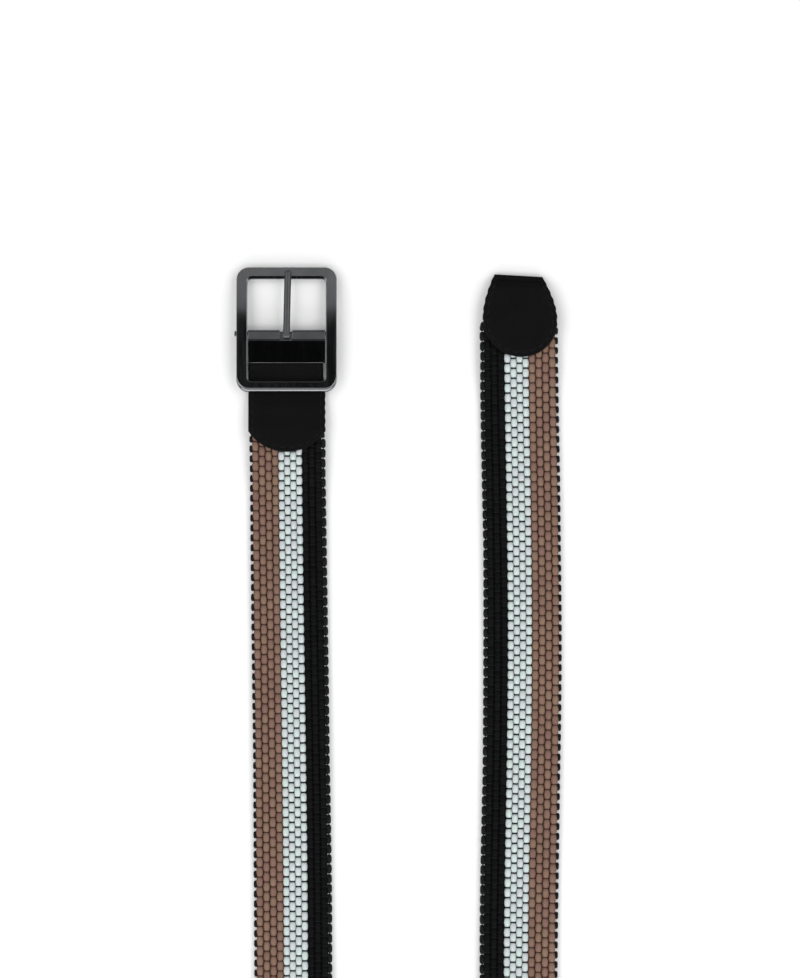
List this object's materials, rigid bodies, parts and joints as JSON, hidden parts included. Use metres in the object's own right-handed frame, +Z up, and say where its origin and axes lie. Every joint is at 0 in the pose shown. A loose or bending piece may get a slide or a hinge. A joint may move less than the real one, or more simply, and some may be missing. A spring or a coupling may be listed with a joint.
{
  "type": "braided belt",
  "caption": "Woven cord belt lying on a table, brown, pale and black, with leather ends and a hinged frame buckle with a prong.",
  "frame": {"origin": "middle of the belt's footprint, on the surface it lies on", "axes": "+X across both legs from the buckle to the tip, +Y along them from the turn to the buckle's end bar, +Z up"},
  "size_m": [0.1426, 0.4994, 0.0344],
  "materials": {
    "woven_cord": "matt waxed cord in brown, pale grey-blue and black stripes",
    "leather": "smooth black, low sheen",
    "gunmetal": "satin dark grey plating"
  },
  "bodies": {
    "belt": {"woven_band": "woven_cord", "tab_leather_front": "leather", "tab_leather_back": "leather", "tip_leather_front": "leather", "tip_leather_back": "leather", "clamp": "gunmetal"},
    "frame": {"buckle_frame": "gunmetal", "hinge_pin": "gunmetal"},
    "prong": {"prong": "gunmetal"}
  },
  "joints": [
    {"name": "frame_hinge", "type": "hinge", "parent": "belt", "child": "frame", "pos_m": [-0.04866, 0.2206, 0.0037], "axis": [-1, 0, 0], "range_deg": [0, 125]},
    {"name": "prong_hinge", "type": "hinge", "parent": "frame", "child": "prong", "pos_m": [-0.04866, 0.2206, 0.0037], "axis": [1, 0, 0], "range_deg": [0, 90]}
  ]
}
